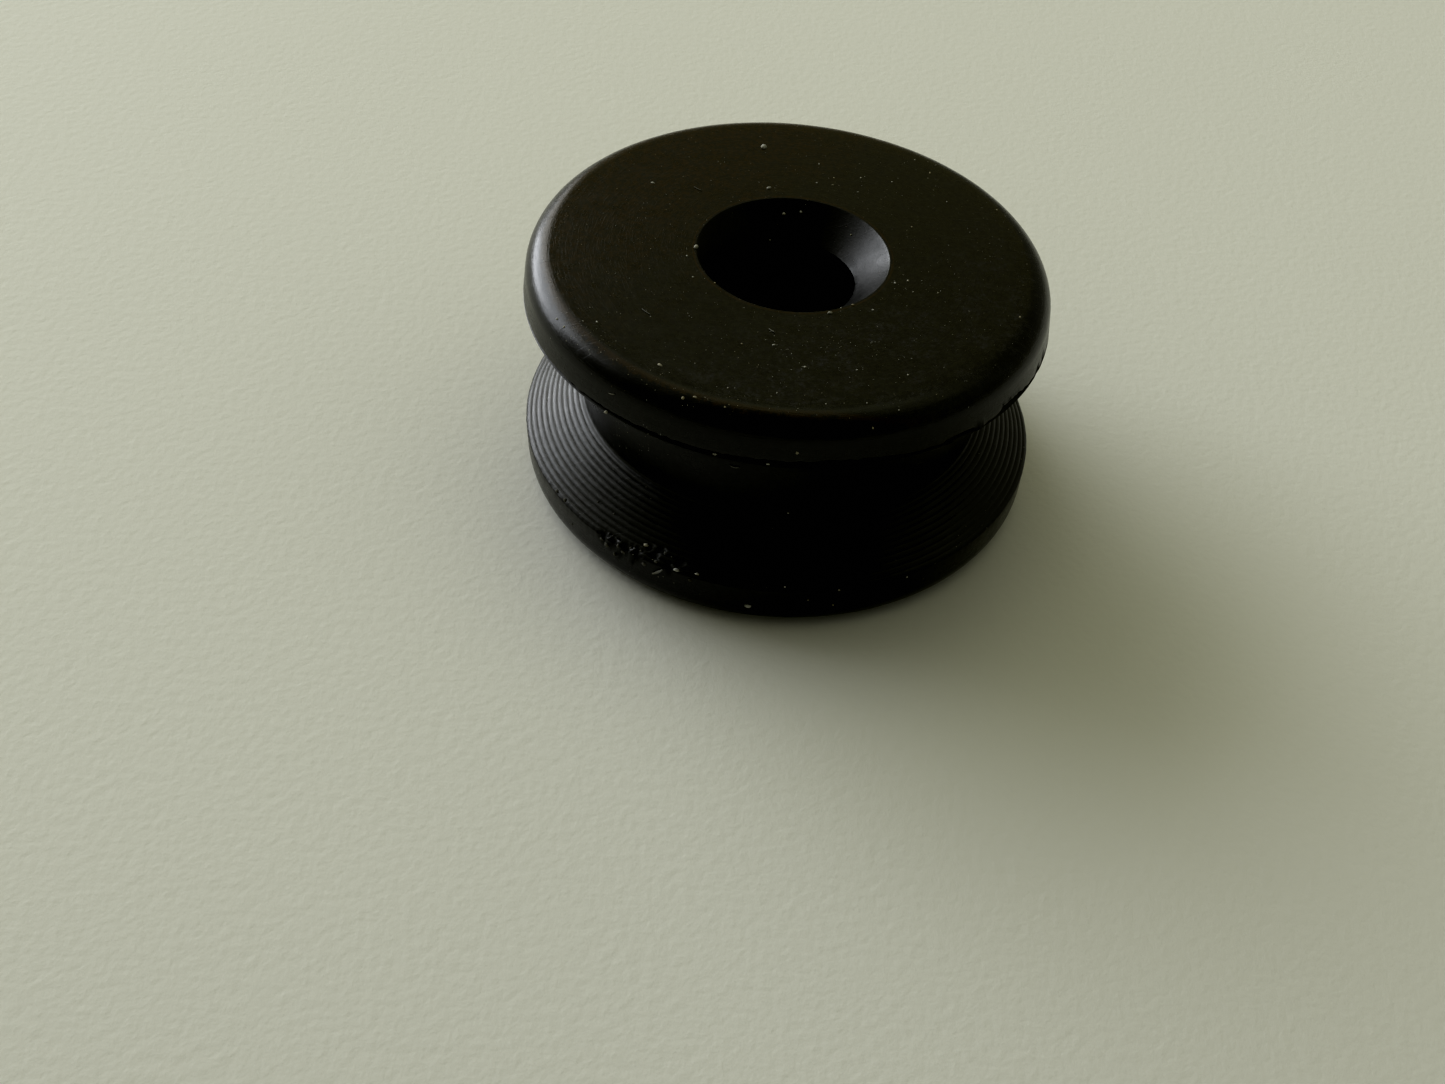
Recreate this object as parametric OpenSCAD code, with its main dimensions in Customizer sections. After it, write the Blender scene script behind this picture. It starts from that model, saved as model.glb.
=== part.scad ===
// Rubber grommet: a moulded spool with two round flanges, a necked groove between them
// and a hole down the middle that opens through a cone at the top.
// Millimetres, +Z up. The origin is on the axis, at the face of the bottom flange.

/* [Top flange] */
// Diameter of the top flange at its sharp lower edge
top_d = 32; // [29:0.1:40]
// Thickness of the top flange at its rim
top_t = 2.8; // [1.8:0.1:5]
// Radius of the rounded edge round the top face
top_round = 1.6; // [0.2:0.05:2.5]
// Lean of the top flange's rim, in degrees: it widens towards the groove
top_draft = 7; // [0.5:0.5:12]

/* [Bottom flange] */
// Diameter of the bottom flange at its sharp upper edge
bottom_d = 32.7; // [29:0.1:40]
// Thickness of the bottom flange at its rim
bottom_t = 3.1; // [1.8:0.1:5]
// Radius of the rounded edge round the bottom face
bottom_round = 1.5; // [0.2:0.05:2.5]
// Lean of the bottom flange's rim, in degrees: it widens towards the groove
bottom_draft = 1; // [0.5:0.5:12]

/* [Groove] */
// Diameter of the neck at the bottom of the groove
neck_d = 25.3; // [16:0.1:26.5]
// Length of the straight part of the neck
neck_h = 4.9; // [2:0.1:12]
// Height of the sloping face between the neck and each flange's rim
slope_h = 2.3; // [0.5:0.1:3.5]

/* [Rings] */
// Spacing of the fine rings on the sloping faces, measured along the slope
ring_pitch = 0.39; // [0.36:0.01:0.8]
// Radius of each ring's rounded crest
ring_r = 0.2; // [0.12:0.01:0.21]
// How far each ring's crest stands up from the slope
ring_h = 0.07; // [0.02:0.01:0.08]

/* [Hole] */
// Diameter of the straight hole down the middle
bore_d = 7.7; // [3:0.1:10]
// Diameter of the cone's mouth in the top face
mouth_d = 11.6; // [10.4:0.1:16]
// Depth of the cone below the top face
mouth_depth = 1.9; // [0.5:0.1:4]

/* [Hidden] */
$fn = 96;
// Least height of plain rim between the rounded edge and the sharp edge
rim_min = 0.4;
// How far a cutting shape runs past the face that it cuts
past = 1;
neck_r = neck_d / 2;
total_h = bottom_t + slope_h + neck_h + slope_h + top_t;

// Point at a distance along and below the slope, which runs from the edge (edge_r, t) to the neck
function on_slope(edge_r, t, along, below) =
    let (run = edge_r - neck_r, len = norm([run, slope_h]))
    [edge_r - (along * run + below * slope_h) / len, t + (along * slope_h - below * run) / len];

// Half section of one flange: outer face on Y = 0, sharp edge at (edge_r, t), and a rim that
// leans by draft and runs smoothly into the rounded edge
module flange_section(edge_r, t, edge_round, draft) {
    r = min(edge_round, t - rim_min);
    centre = [edge_r - ((t - r) * sin(draft) + r) / cos(draft), r];
    polygon([
        [0, 0], [centre.x, 0], centre,
        centre + r * [cos(draft), -sin(draft)], [edge_r, t], [0, t]
    ]);
    translate(centre) circle(r = r);
}

// Half section of the sloping face that rises from the sharp edge to the neck, with its rings
module slope_section(edge_r, t) {
    polygon([[0, t], [edge_r, t], [neck_r, t + slope_h], [0, t + slope_h]]);
    rings = floor(norm([edge_r - neck_r, slope_h]) / ring_pitch);
    for (i = [0 : rings - 1])
        translate(on_slope(edge_r, t, (i + 0.5) * ring_pitch, ring_r - ring_h))
            circle(r = ring_r);
}

module bottom_section() {
    flange_section(bottom_d / 2, bottom_t, bottom_round, bottom_draft);
    slope_section(bottom_d / 2, bottom_t);
}

module top_section() {
    flange_section(top_d / 2, top_t, top_round, top_draft);
    slope_section(top_d / 2, top_t);
}

module hole_section() {
    translate([0, -past]) square([bore_d / 2, total_h + 2 * past]);
    polygon([
        [0, total_h - mouth_depth], [bore_d / 2, total_h - mouth_depth],
        [mouth_d / 2, total_h], [mouth_d / 2, total_h + past], [0, total_h + past]
    ]);
}

module grommet() {
    color([0.09, 0.09, 0.085])
        rotate_extrude()
            difference() {
                union() {
                    bottom_section();
                    translate([0, total_h]) mirror([0, 1]) top_section();
                    square([neck_r, total_h]);
                }
                hole_section();
            }
}

grommet();
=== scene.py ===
"""The looks of the rubber grommet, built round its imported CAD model.

One detailed moulding replaces the plain CAD solid. It has small rounds on its sharp edges, moulded rings,
a notch at the foot of the top flange's wall, chips and a torn patch. Crumbs, dust and fibres lie on it.
Sizes are in millimetres, angles are in degrees, and a point of the half section is (distance from the axis,
height).
"""
import math
import random

import bpy
import numpy as np
from mathutils import Matrix, Vector, noise
from mathutils.bvhtree import BVHTree


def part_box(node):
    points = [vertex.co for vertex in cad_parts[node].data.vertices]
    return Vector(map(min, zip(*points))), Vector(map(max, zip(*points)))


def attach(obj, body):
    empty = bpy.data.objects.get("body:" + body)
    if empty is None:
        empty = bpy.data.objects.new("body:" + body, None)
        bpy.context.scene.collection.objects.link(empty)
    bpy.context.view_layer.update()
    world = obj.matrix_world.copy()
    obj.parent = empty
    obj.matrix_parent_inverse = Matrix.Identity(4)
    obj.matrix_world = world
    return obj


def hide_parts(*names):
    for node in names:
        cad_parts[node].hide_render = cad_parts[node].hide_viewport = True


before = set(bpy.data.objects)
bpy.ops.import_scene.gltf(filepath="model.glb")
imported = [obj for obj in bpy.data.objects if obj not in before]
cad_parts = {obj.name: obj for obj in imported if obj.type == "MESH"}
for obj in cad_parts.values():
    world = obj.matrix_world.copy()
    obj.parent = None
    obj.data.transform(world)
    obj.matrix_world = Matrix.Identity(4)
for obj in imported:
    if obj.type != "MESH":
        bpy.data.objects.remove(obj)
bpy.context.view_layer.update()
box_low, box_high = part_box("grommet")

MM = 0.001

# ---------------------------------------------------------------- sizes of the moulding
HEIGHT = (box_high.z - box_low.z) / MM
BOTTOM_R = (box_high.x - box_low.x) / 2 / MM
TOP_R = 16.0
TOP_T, BOTTOM_T = 2.8, 3.1
TOP_ROUND, BOTTOM_ROUND = 1.6, 1.5
TOP_DRAFT, BOTTOM_DRAFT = 7.0, 1.0
NECK_R = 12.65
SLOPE_H = 2.3
RING_PITCH, RING_H = 0.39, 0.046
RING_R = ((RING_PITCH / 2) ** 2 + RING_H**2) / (2 * RING_H)
BORE_R = 3.85
MOUTH_R, MOUTH_DEPTH = 5.8, 1.9

# Rounds on the edges that the CAD leaves sharp, and in the corner between neck and slope
BOTTOM_EDGE = 0.16
HOLE_EDGE = 0.05
NECK_CORNER = 0.3
# How far the rings' points keep from the flange's lip and from the neck
LIP_CLEAR, NECK_CLEAR = 0.02, 0.15
# A notch runs round the top flange's sharp edge: its usual height and depth, the round of its upper edge, and
# where it is deepest, as a share of its height
NOTCH_H, NOTCH_DEPTH, NOTCH_EDGE, NOTCH_DEEPEST = 0.3, 0.2, 0.05, 0.35
# The notch's height at azimuths. Its depth grows with its height, up to NOTCH_DEEPER times.
NOTCH_HEIGHTS = (
    (0, 0.2), (195, 0.12), (205, 0.16), (215, 0.19), (225, 0.22), (235, 0.26), (245, 0.28), (260, 0.3),
    (272, 0.34), (280, 0.48), (290, 0.4), (297, 0.24), (305, 0.2), (307.5, 0.42), (313, 0.42), (314.8, 0.06),
    (316, 0.06), (317.5, 0.15), (321, 0.2), (323, 0.5), (328, 0.5), (333, 0.2), (360, 0.2),
)
NOTCH_DEEPER = 1.2

# Where the half section has its points: steps of its rounds, and shares of its straight stretches
ROUND_STEPS, LIP_STEPS, CORNER_STEPS, NOTCH_STEPS = 13, 5, 4, 2
WALL_SHARES = (0.2, 0.4, 0.55)
NECK_SHARES = (0.25, 0.5, 0.75)
CONE_SHARES = (0.9, 0.7, 0.5, 0.3, 0.1)
BORE_SHARES = (0.97, 0.8, 0.6, 0.4, 0.2, 0.03)
# Places across one ring, from -1 in a valley through 0 on the crown
RING_SHARES = (-1, -0.65, 0, 0.65)
# A flat face's steps lie closer together towards its rim, and its first point is this far outside the hole
FACE_STEPS, FACE_CROWDING = 7, 0.8
BORE_BORDER, MOUTH_BORDER = 0.4, 0.25

# ---------------------------------------------------------------- the photograph's camera
IMAGE_W, IMAGE_H = 1445, 1084
FOCAL_PX = 1556.9
CAMERA_ELEVATION = 41.17
CAMERA_DISTANCE = 105.5
CAMERA_ROLL = 4.985
BASE_CENTRE_PX = (777.5, 447.0)
LENS_AXIS_PX = (860.6, 638.4)
SENSOR_W = 36
# What the camera sees, from near to far, in metres
CLIP_START, CLIP_END = 0.005, 10


# ================================================================ half section
def between(a, b, share):
    """The point that lies at a share of the way from a to b."""
    return a[0] + (b[0] - a[0]) * share, a[1] + (b[1] - a[1]) * share


def arc(centre, radius, start, end, steps):
    """Points on a round of the half section, from start to end in degrees."""
    turns = [math.radians(start + (end - start) * i / steps) for i in range(steps + 1)]
    return [(centre[0] + radius * math.cos(a), centre[1] + radius * math.sin(a)) for a in turns]


def corner(before, point, after, radius, steps=CORNER_STEPS):
    """Points of the round that takes the place of a sharp corner."""
    p = Vector(point)
    u = (Vector(before) - p).normalized()
    v = (Vector(after) - p).normalized()
    half = math.acos(max(-1.0, min(1.0, u.dot(v)))) / 2
    centre = p + (u + v).normalized() * (radius / math.sin(half))
    first = p + u * (radius / math.tan(half))
    last = p + v * (radius / math.tan(half))
    a = math.atan2(first.y - centre.y, first.x - centre.x)
    b = math.atan2(last.y - centre.y, last.x - centre.x)
    b = a + (b - a + math.pi) % (2 * math.pi) - math.pi
    return arc(centre, radius, math.degrees(a), math.degrees(b), steps)


def ring_points(edge, foot):
    """Points down a ringed slope, from the flange's edge to the neck. The rings meet in sharp valleys."""
    start = Vector(edge)
    along = (Vector(foot) - start).normalized()
    outward = Vector((along.y, -along.x))
    found = []
    for i in range(math.floor((Vector(foot) - start).length / RING_PITCH)):
        for share in RING_SHARES:
            across = share * RING_PITCH / 2
            rise = math.sqrt(RING_R**2 - across**2) - (RING_R - RING_H)
            p = start + along * ((i + 0.5) * RING_PITCH + across) + outward * rise
            found.append((p.x, p.y))
    return found


def notch(wall_end, edge):
    """The notch in the wall of the top flange, right at its sharp edge."""
    upper = Vector(edge) + (Vector(wall_end) - Vector(edge)).normalized() * NOTCH_H
    deep = (edge[0] - NOTCH_DEPTH, edge[1] - NOTCH_H * NOTCH_DEEPEST)
    return corner(wall_end, upper, deep, NOTCH_EDGE, NOTCH_STEPS) + [deep, edge]


def flange(edge_r, thick, rounding, draft, edge_round, inner_r):
    """Named stretches of one flange's half section, from its outer face at height 0 to the neck.

    The flange's sharp edge gets a round, or the notch where edge_round is None.
    """
    lean = math.radians(draft)
    reach = ((thick - rounding) * math.sin(lean) + rounding) / math.cos(lean)
    centre = (edge_r - reach, rounding)
    edge, foot = (edge_r, thick), (NECK_R, thick + SLOPE_H)
    up_the_neck = (NECK_R, foot[1] + 1)
    face = [
        (inner_r + (centre[0] - inner_r) * (i / FACE_STEPS) ** FACE_CROWDING, 0.0)
        for i in range(FACE_STEPS)
    ]
    rounded = arc(centre, rounding, -90, -draft, ROUND_STEPS)
    wall = [between(rounded[-1], edge, t) for t in WALL_SHARES]
    if edge_round:
        lip = ("lip", corner(wall[-1], edge, foot, edge_round, LIP_STEPS))
    else:
        lip = ("notch", notch(wall[-1], edge))
    lip_height = lip[1][-1][1]
    rings = [
        (r, h) for r, h in ring_points(edge, foot)
        if h > lip_height + LIP_CLEAR and r > NECK_R + NECK_CLEAR
    ]
    neck_side = corner(edge, foot, up_the_neck, NECK_CORNER)
    return [("face", face), ("round", rounded), ("wall", wall), lip, ("rings", rings), ("foot", neck_side)]


def named(name, points):
    """The points of one stretch, each as (stretch name, distance from the axis, height)."""
    return [(name, r, h) for r, h in points]


def hole():
    """The hole's named points, from the cone's mouth down to the bottom face."""
    mouth, throat, foot = (MOUTH_R, HEIGHT), (BORE_R, HEIGHT - MOUTH_DEPTH), (BORE_R, 0.0)
    return [
        *named("mouth_edge", corner((TOP_R, HEIGHT), mouth, throat, HOLE_EDGE)),
        *named("cone", [between(throat, mouth, t) for t in CONE_SHARES]),
        *named("throat_edge", corner(mouth, throat, foot, HOLE_EDGE)),
        *named("bore", [between(foot, throat, t) for t in BORE_SHARES]),
        *named("bore_edge", corner(throat, foot, (BOTTOM_R, 0.0), HOLE_EDGE)),
    ]


def half_section():
    """The named points of the whole closed outline."""
    bottom = flange(
        BOTTOM_R, BOTTOM_T, BOTTOM_ROUND, BOTTOM_DRAFT, BOTTOM_EDGE, BORE_R + BORE_BORDER
    )
    top = flange(TOP_R, TOP_T, TOP_ROUND, TOP_DRAFT, None, MOUTH_R + MOUTH_BORDER)
    neck_low, neck_high = (NECK_R, BOTTOM_T + SLOPE_H), (NECK_R, HEIGHT - TOP_T - SLOPE_H)

    outline = []
    for name, points in bottom:
        outline += named("bottom_" + name, points)
    outline += named("neck", [between(neck_low, neck_high, t) for t in NECK_SHARES])
    for name, points in reversed(top):
        outline += named("top_" + name, [(r, HEIGHT - h) for r, h in reversed(points)])
    return outline + hole()


# ================================================================ camera
def off_axis(pixel):
    """How far right of the lens's axis and how far below it a pixel lies, for each unit of distance."""
    return (pixel[0] - LENS_AXIS_PX[0]) / FOCAL_PX, (pixel[1] - LENS_AXIS_PX[1]) / FOCAL_PX


def camera_turn():
    """The camera's right, down and forward directions as the rows of a matrix, and its place."""
    elevation = math.radians(CAMERA_ELEVATION)
    place = Vector((0, -math.cos(elevation), math.sin(elevation))) * CAMERA_DISTANCE
    forward = -place.normalized()
    right = forward.cross(Vector((0, 0, 1))).normalized()
    down = forward.cross(right)
    look = Matrix.Rotation(math.radians(CAMERA_ROLL), 3, "Z") @ Matrix((right, down, forward))
    to_base = Vector((*off_axis(BASE_CENTRE_PX), 1))
    return Vector((0, 0, 1)).rotation_difference(to_base).to_matrix() @ look, place


LOOK, LENS = camera_turn()


def pixel_ray(pixel):
    """The direction from the lens through a pixel of the photograph."""
    across, along = off_axis(pixel)
    return (LOOK[0] * across + LOOK[1] * along + LOOK[2]).normalized()


def surface_at(tree, pixel):
    """The place and the normal of the surface at a pixel of the photograph, both None off the part."""
    return tree.ray_cast(LENS, pixel_ray(pixel))[:2]


def camera():
    """The photograph's camera, with a shift because the photograph is a crop."""
    data = bpy.data.cameras.new("camera")
    data.sensor_width = SENSOR_W
    data.lens = FOCAL_PX / IMAGE_W * SENSOR_W
    data.shift_x = (IMAGE_W / 2 - LENS_AXIS_PX[0]) / IMAGE_W
    data.shift_y = (LENS_AXIS_PX[1] - IMAGE_H / 2) / IMAGE_W
    data.clip_start, data.clip_end = CLIP_START, CLIP_END
    seen = bpy.data.objects.new("camera", data)
    turn = Matrix((LOOK[0], -LOOK[1], -LOOK[2])).transposed()
    seen.matrix_world = Matrix.Translation(LENS * MM) @ turn.to_4x4()
    bpy.context.scene.collection.objects.link(seen)
    bpy.context.scene.camera = seen


# ================================================================ moulding
# Azimuths in degrees, anticlockwise from +X. Most of the photographed wear lies in the fine sectors.
FINE_SECTORS = ((188, 262), (304, 332))
FINE_STEP, COARSE_STEP = 0.36, 1.4

# Where the half section turns by more than this, in degrees, its edge is left sharp
SHARP_TURN = 40

# The roughness of each kind of stretch, by the last word of its name, and of torn rubber
ROUGHNESS = {
    "face": 0.3, "round": 0.23, "wall": 0.28, "lip": 0.36, "notch": 0.3, "rings": 0.32, "foot": 0.4,
    "neck": 0.3, "edge": 0.35, "cone": 0.42, "bore": 0.5,
}
TORN_ROUGHNESS = 0.7

# The top face's patina ends on its round: at which slope by azimuth, where 90 is level and 0 is upright, and
# over how wide a soft border. From azimuth 280 to 344 it reaches far down the round, and there its colour is a
# painted reflection: the olive sheen of the room on the round's right front.
PATINA_AND_SHEEN_ENDS = ((0, 67), (280, 67), (297, 30), (334, 30), (344, 72), (360, 67))
PATINA_AND_SHEEN_BORDER = 30

# How far the surface strays along its normal: slow swells everywhere, and a fine rag on some stretches
SWELL, SWELL_SIZE = 0.006, 2.6
RAG_SIZE = 0.35
RAG = {
    "bottom_lip": 0.02, "top_rings": 0.004, "bottom_rings": 0.005,
    "mouth_edge": 0.012, "throat_edge": 0.015, "cone": 0.003, "bore": 0.01,
}
# The share by which the notch's height strays
NOTCH_RAG = 0.35

# Pits and chips, and flash where the depth is negative: photograph pixel, radius and depth
CHIPS = (
    ((604, 535), 0.34, 0.14), ((613, 541), 0.4, 0.18), ((626, 548), 0.36, 0.18), ((637, 553), 0.34, 0.12),
    ((650, 548), 0.26, 0.1), ((655, 555), 0.34, 0.12), ((661, 550), 0.28, 0.1), ((669, 568), 0.3, 0.1),
    ((682, 563), 0.3, 0.06), ((632, 561), 0.24, 0.06), ((620, 556), 0.24, 0.05),
    ((1037, 370), 0.35, 0.1), ((1043, 356), 0.3, 0.06), ((947, 441), 0.3, 0.05), ((741, 460), 0.3, 0.05),
    ((981, 425), 0.3, -0.12),
)
# How ragged the chips' outlines are, how large the rag is, and how far out it counts, in chip radii
CHIP_RAG, CHIP_RAG_SIZE, CHIP_REACH = 0.9, 0.16, 1.5
# The power by which a chip's depth fades towards its rim, and how many times sooner it is fully torn
CHIP_FADE, TORN_GAIN = 1.5, 2


def azimuths():
    """Azimuths of the moulding's sections, closer together where the wear is."""
    found, azimuth = [], 0.0
    while azimuth < 360 - COARSE_STEP / 2:
        found.append(azimuth)
        fine = any(low <= azimuth < high for low, high in FINE_SECTORS)
        azimuth += FINE_STEP if fine else COARSE_STEP
    return found


def section_normals(outline):
    """The outward normal of the half section at each of its points."""
    found = []
    for i in range(len(outline)):
        before, after = outline[i - 1], outline[(i + 1) % len(outline)]
        across = Vector((after[2] - before[2], before[1] - after[1]))
        found.append(across.normalized())
    return found


def stray(name, point):
    """How far a point of the moulding lies off its true place, along its normal."""
    off = SWELL * noise.noise(point / SWELL_SIZE)
    if name in RAG:
        off += RAG[name] * noise.noise(point / RAG_SIZE)
    return off


def notched(r, h, azimuth):
    """A point of the notch, moved for the notch's height at this azimuth."""
    a = math.radians(azimuth)
    tall = float(np.interp(azimuth, *zip(*NOTCH_HEIGHTS))) / NOTCH_H
    tall *= 1 + NOTCH_RAG * noise.noise(Vector((math.cos(a), math.sin(a), 0)) * TOP_R / RAG_SIZE)
    edge_h = HEIGHT - TOP_T
    return TOP_R - (TOP_R - r) * min(NOTCH_DEEPER, tall), edge_h + (h - edge_h) * tall


def patina_and_sheen(name, azimuth, slope):
    """How much patina and painted reflection a point carries, from its stretch, azimuth and slope."""
    if name != "top_round":
        return float(name.endswith("face"))
    end = float(np.interp(azimuth, *zip(*PATINA_AND_SHEEN_ENDS)))
    return min(1.0, max(0.0, (slope - end) / PATINA_AND_SHEEN_BORDER + 0.5))


def turned(outline, turns):
    """The half section's points at every azimuth, with their normals and their shares of the patina and
    painted reflection.
    """
    points, normals, shares = [], [], []
    flat_normals = section_normals(outline)
    for azimuth in turns:
        a = math.radians(azimuth)
        for (name, r, h), flat in zip(outline, flat_normals):
            if name == "top_notch":
                r, h = notched(r, h, azimuth)
            true = Vector((r * math.cos(a), r * math.sin(a), h))
            normal = Vector((flat.x * math.cos(a), flat.x * math.sin(a), flat.y))
            points.append(true + normal * stray(name, true))
            normals.append(normal)
            shares.append(patina_and_sheen(name, azimuth, math.degrees(math.asin(flat.y))))
    return np.array(points), np.array(normals), shares


def skin(sections, count):
    """Faces that join each section of count points to the next one, all the way round."""
    faces = []
    for i in range(sections):
        here, there = i * count, (i + 1) % sections * count
        for j in range(count):
            k = (j + 1) % count
            faces.append((here + j, there + j, there + k, here + k))
    return faces


def chip(points, normals, faces):
    """Sink or raise the points round each chip's place, and find how torn each point is."""
    tree = BVHTree.FromPolygons(points.tolist(), faces)
    torn = np.zeros(len(points))
    for pixel, radius, depth in CHIPS:
        centre = surface_at(tree, pixel)[0]
        away = np.linalg.norm(points - np.array(centre), axis=1) / radius
        for i in np.flatnonzero(away < CHIP_REACH):
            away[i] *= 1 + CHIP_RAG * noise.noise(Vector(points[i]) / CHIP_RAG_SIZE)
        near = np.clip(1 - away**2, 0, 1)
        points -= normals * (near**CHIP_FADE * depth)[:, None]
        torn = np.maximum(torn, np.minimum(1, near * TORN_GAIN))
    return points, torn


def mesh_piece(name, points, faces, material):
    """A smooth-shaded mesh object in the row frame, from points in millimetres."""
    mesh = bpy.data.meshes.new(name)
    mesh.from_pydata([[c * MM for c in p] for p in points], [], faces)
    mesh.shade_smooth()
    mesh.update()
    mesh.materials.append(material)
    piece = bpy.data.objects.new(name, mesh)
    bpy.context.scene.collection.objects.link(piece)
    return piece


def paint(piece, name, values):
    """Store a value at each point, for the material to read."""
    layer = piece.data.attributes.new(name, "FLOAT", "POINT")
    layer.data.foreach_set("value", values)


def sharpen(piece, outline):
    """Keep the rings' valleys and the notch sharp when the piece is shaded smooth."""
    count = len(outline)
    places = [Vector((r, h)) for _, r, h in outline]
    sharp = []
    for i in range(count):
        before, after = places[i] - places[i - 1], places[(i + 1) % count] - places[i]
        sharp.append(before.angle(after, 0) > math.radians(SHARP_TURN))
    ends = np.zeros(2 * len(piece.data.edges), int)
    piece.data.edges.foreach_get("vertices", ends)
    along = ends.reshape(-1, 2) % count
    kept = (along[:, 0] == along[:, 1]) & np.array(sharp)[along[:, 0]]
    layer = piece.data.attributes.new("sharp_edge", "BOOLEAN", "EDGE")
    layer.data.foreach_set("value", kept)


def moulding(material):
    """The whole grommet as one closed mesh, turned from its half section and worn, and its faces' tree."""
    outline, turns = half_section(), azimuths()
    points, normals, shares = turned(outline, turns)
    faces = skin(len(turns), len(outline))
    points, torn = chip(points, normals, faces)
    points[:, 2] = np.maximum(points[:, 2], 0)
    piece = mesh_piece("grommet_moulding", points.tolist(), faces, material)
    sharpen(piece, outline)
    names = [name for name, _, _ in outline]
    satin = np.tile([ROUGHNESS[name.split("_")[-1]] for name in names], len(turns))
    paint(piece, "satin", satin + (TORN_ROUGHNESS - satin) * torn)
    # The patina, and on the top round's right front a painted reflection in the patina's colours
    paint(piece, "patina_and_sheen", shares)
    paint(piece, "scuff", [float(name.endswith("rings")) for name in names] * len(turns))
    return piece, BVHTree.FromPolygons(points.tolist(), faces)


# ================================================================ dust and fibres
# The specks that stand out: photograph pixel and radius
SPECKS = (
    (764, 147, 0.26), (653, 183, 0.13), (769, 188, 0.15), (819, 164, 0.07), (817, 183, 0.07),
    (834, 178, 0.07), (833, 185, 0.06), (861, 178, 0.07), (858, 192, 0.06), (930, 173, 0.09),
    (915, 160, 0.06), (892, 182, 0.06), (997, 210, 0.07), (912, 227, 0.07), (947, 202, 0.06),
    (696, 247, 0.19), (687, 256, 0.08), (693, 277, 0.08), (715, 283, 0.07), (597, 322, 0.08),
    (660, 365, 0.14), (774, 345, 0.1), (742, 344, 0.07), (830, 313, 0.13), (841, 308, 0.07),
    (853, 305, 0.1), (873, 310, 0.08), (895, 283, 0.09), (908, 281, 0.09), (913, 292, 0.06),
    (938, 293, 0.07), (805, 367, 0.09), (857, 370, 0.06), (908, 375, 0.07), (826, 404, 0.06),
    (777, 393, 0.06), (728, 388, 0.06), (683, 398, 0.1), (695, 397, 0.1), (725, 407, 0.06),
    (867, 403, 0.06), (899, 410, 0.06), (1020, 317, 0.08), (784, 214, 0.13), (801, 212, 0.1),
    (770, 240, 0.06), (851, 235, 0.07), (606, 412, 0.14), (715, 454, 0.12), (768, 464, 0.1),
    (797, 453, 0.1), (873, 428, 0.08), (788, 513, 0.07), (646, 545, 0.15), (676, 570, 0.16),
    (697, 574, 0.12), (785, 587, 0.08), (839, 590, 0.08), (748, 606, 0.2), (833, 605, 0.08),
    (808, 600, 0.06), (907, 577, 0.08), (557, 319, 0.08), (564, 327, 0.08), (583, 321, 0.05),
)
# Lint fibres: the photograph pixels of their two ends, and radius
FIBRES = (
    ((694, 187), (702, 191), 0.025), ((642, 309), (651, 315), 0.025), ((769, 329), (775, 333), 0.035),
    ((730, 465), (739, 467), 0.05), ((653, 573), (663, 569), 0.09), ((609, 393), (615, 394), 0.035),
)
# Crumbs of torn rubber and burrs that still hold on: photograph pixel and radius
CRUMBS = (
    (557, 491, 0.15), (565, 500, 0.15), (602, 539, 0.13), (607, 545, 0.2), (615, 554, 0.14),
    (623, 552, 0.16), (618, 546, 0.12), (644, 564, 0.17), (690, 580, 0.14), (572, 524, 0.09),
    (598, 502, 0.08), (614, 514, 0.08), (631, 548, 0.12), (641, 551, 0.1), (665, 553, 0.12),
    (656, 562, 0.12), (672, 557, 0.1),
)
# Drifts of fine dust: photograph pixel, spread across and down in pixels, and count
DRIFTS = (
    ((588, 338), (16, 11), 30), ((650, 378), (30, 9), 14), ((760, 405), (60, 6), 16),
    ((830, 345), (45, 16), 70), ((905, 285), (25, 12), 20), ((935, 178), (30, 14), 14),
    ((640, 440), (16, 10), 26), ((640, 575), (40, 12), 24),
)
DRIFT_RADII = (0.016, 0.036)

# Fine dust settles all over until there are this many grains in all. Most of it is small.
GRAIN_COUNT = 1500
SETTLED_RADII = (0.01, 0.035)
SMALLNESS = 3
# It falls from DROP_H, or this share of it comes in from the side: from how far out, at what heights, and how
# much it climbs
DROP_H = HEIGHT + 5
SIDE_SHARE = 0.55
SIDE_START = 40
SIDE_HEIGHTS = (-3, HEIGHT + 12)
SIDE_CLIMB = (-0.5, 0.2)
# By the upward part of its normal, a surface is an underside, where no dust stays, or level. Between the two,
# this share of the dust has fallen off.
UNDERSIDE, LEVEL = -0.3, 0.9
BARE_SHARE = 0.8

# A grain is two belts of points between a foot and a top. In shares of its radius: the heights of foot and
# top, and each belt's height and width.
GRAIN_SIDES = 6
GRAIN_FOOT, GRAIN_TOP = -0.5, 1
GRAIN_BELTS = ((-0.2, 1.0), (0.55, 0.75))
# The ranges of a grain's squash in height, of its stretch along one side, and of its points' reach
GRAIN_SQUASH, GRAIN_STRETCH, GRAIN_REACH = (0.5, 0.85), (0.8, 1.4), (0.75, 1.15)

FIBRE_STEPS, FIBRE_SIDES = 7, 5
# The most that a fibre bends, as a share of its width in the picture, and its middle's height in radii
FIBRE_BEND, FIBRE_LIFT = 0.1, 0.8
# A fibre's thickness: a steady share, and a share that swells as a half wave does, cut this short at its tips
FIBRE_STEADY, FIBRE_SWELL, FIBRE_TIP = 0.35, 0.65, 0.1

DUST_SEED, CRUMB_SEED, FIBRE_SEED = 11, 3, 5


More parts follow.
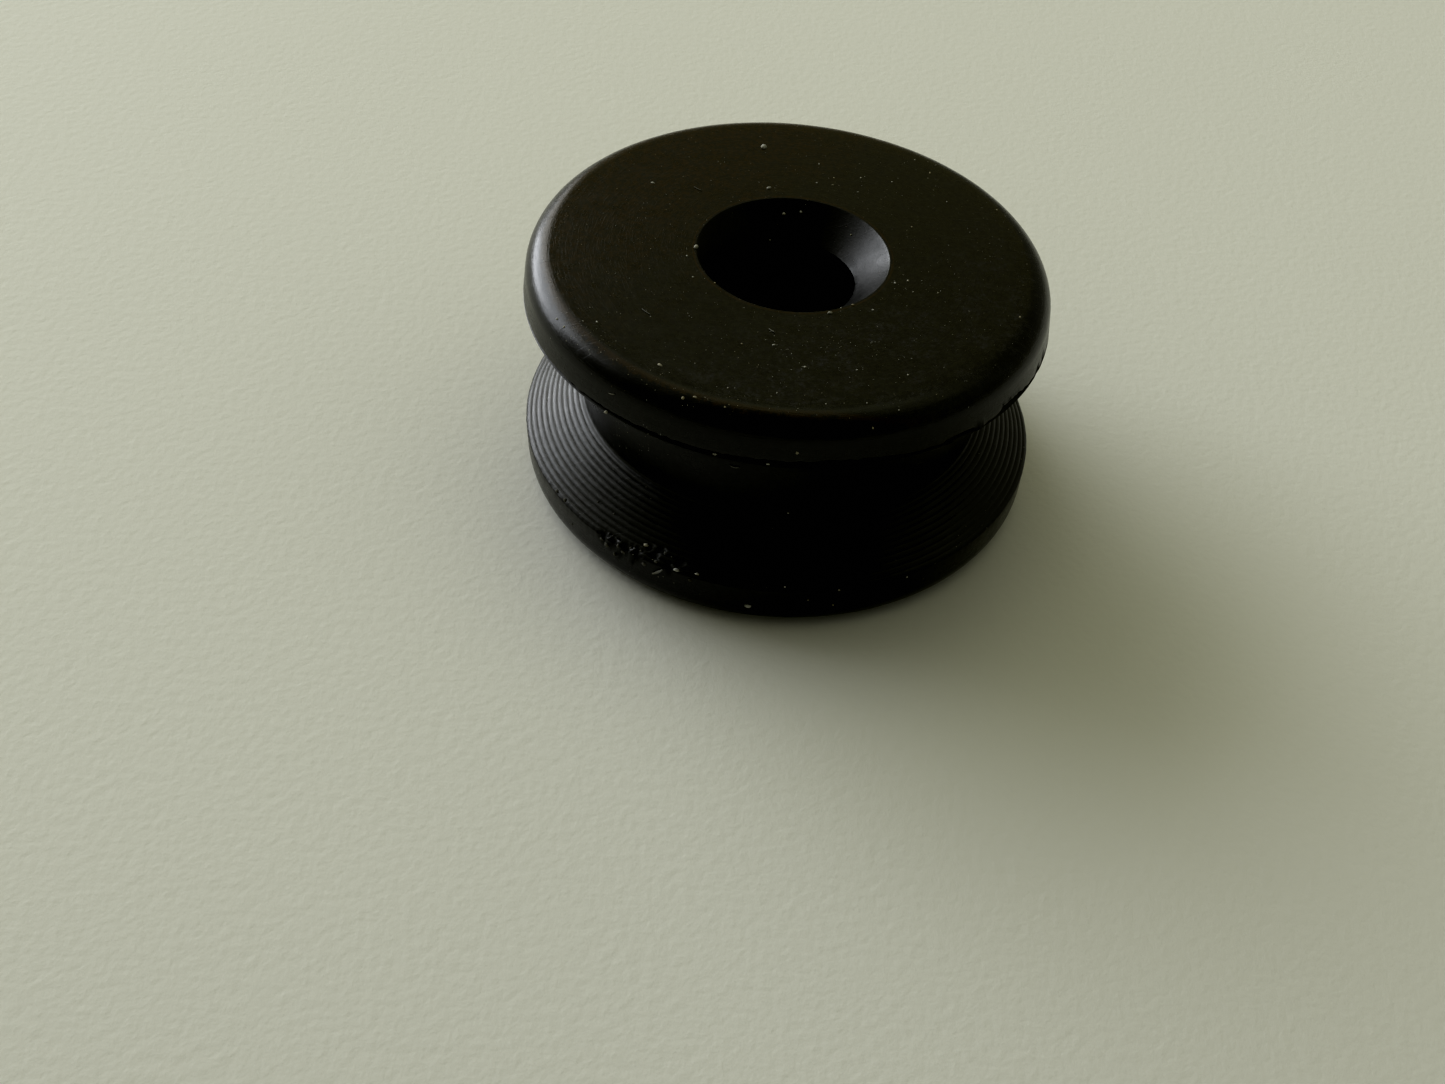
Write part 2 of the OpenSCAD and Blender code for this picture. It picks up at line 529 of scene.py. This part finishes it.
def lump(place, normal, radius, chance):
    """Points and faces of one irregular grain, partly sunk in the surface that it lies on."""
    turn = normal.to_track_quat("Z", "Y").to_matrix()
    squash = chance.uniform(*GRAIN_SQUASH)
    stretch = chance.uniform(*GRAIN_STRETCH)
    spin = chance.uniform(0, math.tau)
    points = [Vector((0, 0, GRAIN_FOOT)), Vector((0, 0, GRAIN_TOP))]
    for belt, (height, wide) in enumerate(GRAIN_BELTS):
        for i in range(GRAIN_SIDES):
            a = spin + math.tau * (i + 0.5 * belt) / GRAIN_SIDES
            reach = wide * chance.uniform(*GRAIN_REACH)
            points.append(Vector((stretch * reach * math.cos(a), reach * math.sin(a) / stretch, height)))
    foot, top, low, high = 0, 1, 2, 2 + GRAIN_SIDES
    faces = []
    for i in range(GRAIN_SIDES):
        j = (i + 1) % GRAIN_SIDES
        faces += [(foot, low + j, low + i), (low + i, low + j, high + i)]
        faces += [(low + j, high + j, high + i), (top, high + i, high + j)]
    placed = [place + turn @ (Vector((p.x, p.y, p.z * squash)) * radius) for p in points]
    return placed, faces


def gather(parts):
    """Join lists of points and faces into one."""
    points, faces = [], []
    for some_points, some_faces in parts:
        start = len(points)
        points += some_points
        faces += [tuple(start + i for i in face) for face in some_faces]
    return points, faces


def specks(tree, chance):
    """The specks that stand out, at their photographed places."""
    return [lump(*surface_at(tree, (x, y)), radius, chance) for x, y, radius in SPECKS]


def drifts(tree, chance):
    """Fine dust that has drifted together round its photographed places."""
    grains = []
    for (x, y), (wide, high), count in DRIFTS:
        for _ in range(count):
            spot = (x + chance.gauss(0, wide), y + chance.gauss(0, high))
            place, normal = surface_at(tree, spot)
            if place is not None:
                grains.append(lump(place, normal, chance.uniform(*DRIFT_RADII), chance))
    return grains


def flight(chance):
    """Where a grain of fine dust comes from and which way it flies: down, or in from the side."""
    a, r = chance.uniform(0, math.tau), BOTTOM_R * math.sqrt(chance.random())
    height, climb = chance.uniform(*SIDE_HEIGHTS), chance.uniform(*SIDE_CLIMB)
    if chance.random() < SIDE_SHARE:
        start = Vector((SIDE_START * math.cos(a), SIDE_START * math.sin(a), height))
        return start, Vector((-math.cos(a), -math.sin(a), climb)).normalized()
    return Vector((r * math.cos(a), r * math.sin(a), DROP_H)), Vector((0, 0, -1))


def settled(tree, chance, count):
    """Fine dust that has settled all over, and less thickly on slopes and walls."""
    small, large = SETTLED_RADII
    grains = []
    while len(grains) < count:
        place, normal = tree.ray_cast(*flight(chance))[:2]
        if place is None or normal.z < UNDERSIDE or (normal.z < LEVEL and chance.random() < BARE_SHARE):
            continue
        radius = small + (large - small) * chance.random() ** SMALLNESS
        grains.append(lump(place, normal, radius, chance))
    return grains


def dust(tree, material):
    """All the dust, as one piece."""
    chance = random.Random(DUST_SEED)
    grains = specks(tree, chance) + drifts(tree, chance)
    grains += settled(tree, chance, GRAIN_COUNT - len(grains))
    return mesh_piece("dust_specks", *gather(grains), material)


def crumbs(tree, material):
    """Torn scraps that lie in and round the pits of the damaged edge."""
    chance = random.Random(CRUMB_SEED)
    grains = [lump(*surface_at(tree, (x, y)), radius, chance) for x, y, radius in CRUMBS]
    return mesh_piece("rubber_crumbs", *gather(grains), material)


def fibre_path(tree, start_px, end_px, radius, bend):
    """Places and normals along a fibre that lies on the surface between two pixels, a little bent."""
    path = []
    for i in range(FIBRE_STEPS + 1):
        t = i / FIBRE_STEPS
        x, y = between(start_px, end_px, t)
        aside = bend * math.sin(math.pi * t) * (end_px[0] - start_px[0])
        place, normal = surface_at(tree, (x, y + aside))
        path.append((place + normal * radius * FIBRE_LIFT, normal))
    return path


def strand(path, radius):
    """Points and faces of a closed tube along a path, thickest in its middle."""
    steps, sides = FIBRE_STEPS, FIBRE_SIDES
    points, faces = [], []
    for i, (place, normal) in enumerate(path):
        ahead = path[min(i + 1, steps)][0] - path[max(i - 1, 0)][0]
        side = ahead.cross(normal).normalized()
        up = side.cross(ahead).normalized()
        wave = math.pi * (FIBRE_TIP + (1 - 2 * FIBRE_TIP) * i / steps)
        thick = radius * (FIBRE_STEADY + FIBRE_SWELL * math.sin(wave))
        for j in range(sides):
            a = math.tau * j / sides
            points.append(place + (side * math.cos(a) + up * math.sin(a)) * thick)
    for i in range(steps):
        for j in range(sides):
            k = (j + 1) % sides
            faces.append((i * sides + j, i * sides + k, (i + 1) * sides + k, (i + 1) * sides + j))
    faces.append(tuple(reversed(range(sides))))
    faces.append(tuple(range(steps * sides, (steps + 1) * sides)))
    return points, faces


def fibres(tree, material):
    """The lint fibres, as one piece."""
    chance = random.Random(FIBRE_SEED)
    strands = []
    for start_px, end_px, radius in FIBRES:
        bend = chance.uniform(-FIBRE_BEND, FIBRE_BEND)
        strands.append(strand(fibre_path(tree, start_px, end_px, radius, bend), radius))
    return mesh_piece("dust_fibres", *gather(strands), material)


# ================================================================ materials
# Colours of the rubber, each as linear red, green and blue with full alpha
BLACK, BLOOM, SCUFFED = (0.0025, 0.0025, 0.0020, 1), (0.009, 0.009, 0.008, 1), (0.017, 0.017, 0.0155, 1)
# Olive, brown, the dark mottle and the rim brown colour the face's patina, and also paint a reflection on the
# top round's right front
OLIVE, BROWN = (0.0112, 0.0112, 0.0046, 1), (0.0215, 0.0110, 0.0008, 1)
DARK_MOTTLE, RIM_BROWN = (0.0040, 0.0036, 0.0014, 1), (0.024, 0.013, 0.0015, 1)
SMUDGE, FLECK = (0.026, 0.026, 0.028, 1), (0.07, 0.068, 0.058, 1)
# Two colours of each other material, between which it drifts
DUST_COLOURS = (0.42, 0.42, 0.39, 1), (0.34, 0.31, 0.22, 1)
TORN_COLOURS = (0.12, 0.117, 0.105, 1), (0.08, 0.077, 0.062, 1)
LINT_COLOURS = (0.22, 0.22, 0.21, 1), (0.17, 0.165, 0.13, 1)
FLOOR_COLOURS = (0.84, 0.84, 0.80, 1), (0.86, 0.86, 0.82, 1)
PLASTIC_COLOURS = (0.01, 0.01, 0.01, 1), (0.014, 0.014, 0.014, 1)

# Grains of noise: features for each millimetre, detail and roughness
WANDER_GRAIN, BORDER_GRAIN = (0.6, 4.0, 0.8), (3.0, 4.0, 0.8)
WEAR_GRAIN, SATIN_GRAIN, TURNED_GRAIN = (0.9, 6.0, 0.65), (7.0, 4.0, 0.6), (1.0, 3.0, 0.7)
DUST_GRAIN, FLOOR_GRAIN = (25.0, 3.0, 0.55), (1.6, 4.0, 0.55)
FLOOR_DRIFT, PLASTIC_DRIFT = (0.03, 4.0, 0.55), (0.5, 3.0, 0.55)
# Patches of noise: a grain, and the values of its noise at which a patch begins and is full
BLOOM_PATCHES, MOTTLE_PATCHES = (2.5, 4.0, 0.7, 0.45, 0.7), (3.0, 2.0, 0.9, 0.4, 0.62)
SMUDGE_PATCHES, SMUDGE_SPOTS = (1.2, 6.0, 0.7, 0.45, 0.62), (4.0, 4.0, 0.8, 0.45, 0.65)
STREAK_PATCHES, SCRATCH_PATCHES = (1.0, 2.0, 0.6, 0.5, 0.75), (1.0, 2.0, 0.55, 0.66, 0.72)
DUST_DRIFT = (0.8, 1.0, 0.55, 0.45, 0.62)
# Nearly all of a noise's values lie between these
NOISE_LOW, NOISE_HIGH = 0.3, 0.7

# The ways across the face to its browner and to its smudged part, and how far from the axis each part begins
# and is full
BROWN_WAY, BROWN_REACH = (-0.8, 0.6, 0.0), (2.0, 9.0)
SMUDGE_WAY, SMUDGE_REACH = (0.64, -0.77, 0.0), (2.0, 9.0)
# How far the border between olive and brown wanders
BROWN_WANDER = 4.0
# The end on the rim of the patina and painted reflection: how ragged it is, and the shares over which it fades
# out
PATINA_AND_SHEEN_RAG, PATINA_AND_SHEEN_FADE = 0.5, (0.4, 0.6)
# Its brown border: the shares of patina and painted reflection, and the distances right of the axis, at which
# it begins and is full
BORDER_SHARES, BORDER_RIGHT = (1.0, 0.85), (9.0, 5.0)
# Flecks of dust: cells for each millimetre, the draw above which a cell has a fleck, and the fleck's size
FLECKS = ((2.2, 0.86, 0.1), (5.0, 0.9, 0.14))
# How much higher the draw is for a full fleck, and the share of a fleck's size that is its full core
FLECK_DRAW, FLECK_CORE = 0.1, 0.6

# How strongly the shaders reflect, at their specular level
RUBBER_GLOSS, FLOOR_GLOSS = 0.46, 0.2
# The least and the most share of its roughness that the rubber has as it wears, and what smudges add
WORN_LEAST, WORN_MOST, SMUDGE_DULLNESS = 0.85, 1.15, 0.25
# Turning marks and short streaks: noise features for each millimetre across them and for each radian round the
# axis, and their depth
TURNED_ACROSS, TURNED_ROUND, TURNED_DEPTH = 5.0, 2.0, 0.004
STREAK_ACROSS, STREAK_ROUND, STREAK_DEPTH = 11.0, 16.0, 0.004
# Scratches: the two ways that they run, in radians, each with the features for each millimetre across it, then
# the features along them, and their depth
SCRATCH_WAYS = ((0.5, 9.0), (2.1, 7.0))
SCRATCH_ALONG, SCRATCH_DEPTH = 0.35, 0.003
# The depth of the grain of the rubber, of the dust and of the floor
SATIN_DEPTH, DUST_DEPTH, FLOOR_DEPTH = 0.005, 0.01, 0.035
DUST_ROUGHNESS, FLOOR_ROUGHNESS, PLASTIC_ROUGHNESS = 0.8, 0.7, 0.6

# A Mix node's colour sockets, by number because its other sockets have the same names
MIX_A, MIX_B, MIX_RESULT = 6, 7, 2


def new_material(name):
    """A node material, its tree and its Principled shader."""
    material = bpy.data.materials.new(name)
    material.use_nodes = True
    return material, material.node_tree, material.node_tree.nodes["Principled BSDF"]


def node(tree, kind, inputs=(), **settings):
    """A new node, its settings, and its inputs as numbers, colours or sockets to link."""
    made = tree.nodes.new("ShaderNode" + kind)
    for key, value in settings.items():
        setattr(made, key, value)
    for key, value in dict(inputs).items():
        if isinstance(value, bpy.types.NodeSocket):
            tree.links.new(value, made.inputs[key])
        else:
            made.inputs[key].default_value = value
    return made


def millimetres(tree):
    """The place in the row frame, in millimetres."""
    place = node(tree, "TexCoord").outputs["Object"]
    return node(tree, "VectorMath", {0: place, "Scale": 1 / MM}, operation="SCALE").outputs[0]


def painted(tree, name):
    """A value that was painted on the mesh's points."""
    return node(tree, "Attribute", attribute_name=name).outputs["Fac"]


def grain(tree, place, scale, detail, rough):
    """Noise between 0 and 1 whose features are about 1 / scale millimetres across."""
    inputs = {"Vector": place, "Scale": scale, "Detail": detail, "Roughness": rough}
    return node(tree, "TexNoise", inputs).outputs["Fac"]


def span(tree, value, low, high, out_low=0.0, out_high=1.0):
    """The value carried from one range to another, and held inside it."""
    inputs = {
        "Value": value, "From Min": low, "From Max": high, "To Min": out_low, "To Max": out_high,
    }
    return node(tree, "MapRange", inputs).outputs[0]


def patches(tree, place, scale, detail, rough, begins, full):
    """Soft-edged patches of noise, from 0 between them to 1 inside them."""
    return span(tree, grain(tree, place, scale, detail, rough), begins, full)


def sway(tree, place, kind, low, high):
    """Noise of one kind of grain that sways between two values."""
    return span(tree, grain(tree, place, *kind), NOISE_LOW, NOISE_HIGH, low, high)


def times(tree, a, b):
    """The product of two numbers or sockets."""
    return node(tree, "Math", {0: a, 1: b}, operation="MULTIPLY").outputs[0]


def plus(tree, a, b):
    """The sum of two numbers or sockets."""
    return node(tree, "Math", {0: a, 1: b}, operation="ADD").outputs[0]


def along_way(tree, place, way):
    """How far the place lies from the axis, along a way."""
    return node(tree, "VectorMath", {0: place, 1: way}, operation="DOT_PRODUCT").outputs["Value"]


def blend_colour(tree, share, a, b):
    """A mix of two colours, each a tuple or a socket."""
    mixer = node(tree, "Mix", {"Factor": share, MIX_A: a, MIX_B: b}, data_type="RGBA")
    return mixer.outputs[MIX_RESULT]


def raise_bump(tree, height, depth_mm, below=None):
    """A bump of a given depth in millimetres, on top of another."""
    inputs = {"Height": height, "Strength": 1.0, "Distance": depth_mm * MM}
    if below is not None:
        inputs["Normal"] = below
    return node(tree, "Bump", inputs).outputs[0]


def black_rubber(tree, place):
    """Black with a faint bloom, and greyer on the ringed slopes."""
    black = blend_colour(tree, patches(tree, place, *BLOOM_PATCHES), BLACK, BLOOM)
    return blend_colour(tree, painted(tree, "scuff"), black, SCUFFED)


def patina_and_sheen_colour(tree, place, share):
    """The patina, and the painted reflection on the top round's right front in the same colours: brown at the
    left, olive at the right, mottled, and with a brown border on the rim.
    """
    wander = sway(tree, place, WANDER_GRAIN, -BROWN_WANDER, BROWN_WANDER)
    browner = span(tree, plus(tree, along_way(tree, place, BROWN_WAY), wander), *BROWN_REACH)
    brown = blend_colour(tree, browner, OLIVE, BROWN)
    brown = blend_colour(tree, patches(tree, place, *MOTTLE_PATCHES), DARK_MOTTLE, brown)
    x = node(tree, "SeparateXYZ", {0: place}).outputs["X"]
    border = times(tree, span(tree, share, *BORDER_SHARES), span(tree, x, *BORDER_RIGHT))
    return blend_colour(tree, border, brown, RIM_BROWN)


def smudges(tree, place, share):
    """Where grey smudges of fine dust lie, on the face's front right."""
    front_right = span(tree, along_way(tree, place, SMUDGE_WAY), *SMUDGE_REACH)
    patch = times(tree, patches(tree, place, *SMUDGE_PATCHES), front_right)
    spotted = times(tree, patch, patches(tree, place, *SMUDGE_SPOTS))
    return times(tree, spotted, share)


def flecked(tree, place, colour, covered):
    """The colour with flecks of dust where the patina and painted reflection cover, one each in some cells of
    every size.
    """
    for cells_per_mm, rarity, size in FLECKS:
        cells = node(tree, "TexVoronoi", {"Vector": place, "Scale": cells_per_mm})
        draw = node(tree, "SeparateColor", {0: cells.outputs["Color"]}).outputs[0]
        picked = times(tree, span(tree, draw, rarity, rarity + FLECK_DRAW), covered)
        fleck = times(tree, span(tree, cells.outputs["Distance"], size, size * FLECK_CORE), picked)
        colour = blend_colour(tree, fleck, colour, FLECK)
    return colour


def round_axis(tree, place, across, around):
    """A place for noise that is drawn out round the axis, with its features across and around it."""
    axes = node(tree, "SeparateXYZ", {0: place}).outputs
    flat = node(tree, "CombineXYZ", {"X": axes["X"], "Y": axes["Y"], "Z": 0.0}).outputs[0]
    radius = node(tree, "VectorMath", {0: flat}, operation="LENGTH").outputs["Value"]
    turn = node(tree, "Math", {0: axes["Y"], 1: axes["X"]}, operation="ARCTAN2").outputs[0]
    scaled = {
        "X": times(tree, radius, across), "Y": times(tree, axes["Z"], across), "Z": times(tree, turn, around),
    }
    return node(tree, "CombineXYZ", scaled).outputs[0]


def rubber_relief(tree, place):
    """Broken rings left by the mould's turning, short streaks, scratches and the satin grain."""
    marks = grain(tree, round_axis(tree, place, TURNED_ACROSS, TURNED_ROUND), *TURNED_GRAIN)
    relief = raise_bump(tree, marks, TURNED_DEPTH)
    streaks = patches(tree, round_axis(tree, place, STREAK_ACROSS, STREAK_ROUND), *STREAK_PATCHES)
    relief = raise_bump(tree, streaks, STREAK_DEPTH, relief)
    for way, across in SCRATCH_WAYS:
        stretch = {
            "Vector": place, "Rotation": (0, 0, way), "Scale": (SCRATCH_ALONG, across, SCRATCH_ALONG),
        }
        scratches = patches(tree, node(tree, "Mapping", stretch).outputs[0], *SCRATCH_PATCHES)
        relief = raise_bump(tree, scratches, SCRATCH_DEPTH, relief)
    return raise_bump(tree, grain(tree, place, *SATIN_GRAIN), SATIN_DEPTH, relief)


def rubber_material():
    """Black rubber with a patina on its face and a painted reflection on its top round's right front, smudges
    and flecks of dust, uneven wear and fine relief.
    """
    material, tree, shader = new_material("moulded rubber")
    place = millimetres(tree)
    # The patina, and the painted reflection on the top round's right front
    share = painted(tree, "patina_and_sheen")
    ragged = plus(tree, share, sway(tree, place, BORDER_GRAIN, -PATINA_AND_SHEEN_RAG, PATINA_AND_SHEEN_RAG))
    covered = span(tree, ragged, *PATINA_AND_SHEEN_FADE)
    smudged = smudges(tree, place, share)

    colour = blend_colour(tree, covered, black_rubber(tree, place), patina_and_sheen_colour(tree, place, share))
    colour = blend_colour(tree, smudged, colour, SMUDGE)
    tree.links.new(flecked(tree, place, colour, covered), shader.inputs["Base Color"])

    worn = times(tree, painted(tree, "satin"), sway(tree, place, WEAR_GRAIN, WORN_LEAST, WORN_MOST))
    dull = plus(tree, worn, times(tree, smudged, SMUDGE_DULLNESS))
    tree.links.new(dull, shader.inputs["Roughness"])
    shader.inputs["Specular IOR Level"].default_value = RUBBER_GLOSS
    tree.links.new(rubber_relief(tree, place), shader.inputs["Normal"])
    return material


def dust_material(name, colours):
    """Dull dust whose colour drifts from grain to grain."""
    material, tree, shader = new_material(name)
    place = millimetres(tree)
    tint = blend_colour(tree, patches(tree, place, *DUST_DRIFT), *colours)
    tree.links.new(tint, shader.inputs["Base Color"])
    shader.inputs["Roughness"].default_value = DUST_ROUGHNESS
    relief = raise_bump(tree, grain(tree, place, *DUST_GRAIN), DUST_DEPTH)
    tree.links.new(relief, shader.inputs["Normal"])
    return material


def floor_material():
    """A plain pale desk top with a faint grain."""
    material, tree, shader = new_material("pale floor")
    place = millimetres(tree)
    tint = blend_colour(tree, grain(tree, place, *FLOOR_DRIFT), *FLOOR_COLOURS)
    tree.links.new(tint, shader.inputs["Base Color"])
    shader.inputs["Roughness"].default_value = FLOOR_ROUGHNESS
    shader.inputs["Specular IOR Level"].default_value = FLOOR_GLOSS
    relief = raise_bump(tree, grain(tree, place, *FLOOR_GRAIN), FLOOR_DEPTH)
    tree.links.new(relief, shader.inputs["Normal"])
    return material


def shade_material():
    """Dull black plastic."""
    material, tree, shader = new_material("black plastic")
    tint = blend_colour(tree, grain(tree, millimetres(tree), *PLASTIC_DRIFT), *PLASTIC_COLOURS)
    tree.links.new(tint, shader.inputs["Base Color"])
    shader.inputs["Roughness"].default_value = PLASTIC_ROUGHNESS
    return material


# ================================================================ floor and lights
# Half the floor's width
FLOOR_HALF = 1500
# The width and height of the phone, and how far behind the lens it stands
SHADE_SIZE = (130, 70)
SHADE_BEHIND = 2

LIGHT_DISTANCE = 2500
# Soft boxes: name, azimuth, elevation, width and height in degrees, and red, green and blue brightness, in
# watts for each square metre of the box
SOFT_BOXES = (
    ("window", 145, 20, 40, 34, (8.2, 8.5, 9.0)),
    ("window_core", 138, 11, 26, 15, (7.0, 7.1, 7.3)),
    ("window_right", 117, 22, 13, 28, (4.6, 4.7, 4.8)),
    ("window_glow", 146, 28, 62, 50, (1.1, 1.1, 1.1)),
    ("window_top", 147, 40, 44, 7, (3.4, 3.4, 3.2)),
    ("back", 103, 27, 54, 22, (0.38, 0.32, 0.08)),
    ("right", 0, 35, 40, 26, (0.18, 0.21, 0.19)),
    ("ceiling_left", 120, 65, 60, 28, (0.55, 0.57, 0.42)),
    ("ceiling_right", 60, 65, 60, 28, (0.84, 0.84, 0.56)),
)
WORLD_COLOUR = (0.20, 0.20, 0.155)
# What is darker than this comes out black, as in the photograph
BLACK_POINT = 0.009


def floor(material):
    """The desk top that the grommet stands on."""
    half = FLOOR_HALF
    corners = [(-half, -half, 0), (half, -half, 0), (half, half, 0), (-half, half, 0)]
    mesh_piece("floor", corners, [(0, 1, 2, 3)], material)


def shade(material):
    """The dark phone that took the picture. From behind the lens it keeps light off the floor in front."""
    wide, high = SHADE_SIZE
    right, down = LOOK[0] * wide / 2, LOOK[1] * high / 2
    centre = LENS - LOOK[2] * SHADE_BEHIND
    corners = [centre + right * a + down * b for a, b in ((-1, -1), (1, -1), (1, 1), (-1, 1))]
    card = mesh_piece("phone_shade", corners, [(0, 1, 2, 3)], material)
    card.visible_camera = False


def soft_box(name, azimuth, elevation, width, height, brightness):
    """A rectangular light that faces the grommet."""
    a, e = math.radians(azimuth), math.radians(elevation)
    toward = Vector((math.cos(a) * math.cos(e), math.sin(a) * math.cos(e), math.sin(e)))
    lamp = bpy.data.lights.new(name, "AREA")
    lamp.shape = "RECTANGLE"
    lamp.size = 2 * LIGHT_DISTANCE * MM * math.tan(math.radians(width / 2))
    lamp.size_y = 2 * LIGHT_DISTANCE * MM * math.tan(math.radians(height / 2))
    lamp.energy = max(brightness) * lamp.size * lamp.size_y
    lamp.color = [c / max(brightness) for c in brightness]
    box = bpy.data.objects.new(name, lamp)
    box.location = toward * LIGHT_DISTANCE * MM
    box.rotation_euler = toward.to_track_quat("Z", "Y").to_euler()
    box.visible_camera = False
    bpy.context.scene.collection.objects.link(box)


def lights():
    """The soft boxes, and a dim world round them."""
    world = bpy.data.worlds.new("world")
    bpy.context.scene.world = world
    world.use_nodes = True
    world.node_tree.nodes["Background"].inputs[0].default_value = (*WORLD_COLOUR, 1)
    for box in SOFT_BOXES:
        soft_box(*box)


def tone():
    """The contrast and the black point of the photograph."""
    view = bpy.context.scene.view_settings
    view.view_transform = "Standard"
    view.look = "High Contrast"
    view.use_curve_mapping = True
    view.curve_mapping.black_level = (BLACK_POINT,) * 3
    view.curve_mapping.update()


# ================================================================ scene
tone()
grommet, surface = moulding(rubber_material())
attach(grommet, "root")
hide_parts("grommet")

grains = dust(surface, dust_material("pale dust", DUST_COLOURS))
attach(grains, "root")
scraps = crumbs(surface, dust_material("torn rubber", TORN_COLOURS))
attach(scraps, "root")
lint = fibres(surface, dust_material("pale lint", LINT_COLOURS))
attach(lint, "root")

floor(floor_material())
shade(shade_material())
camera()
lights()
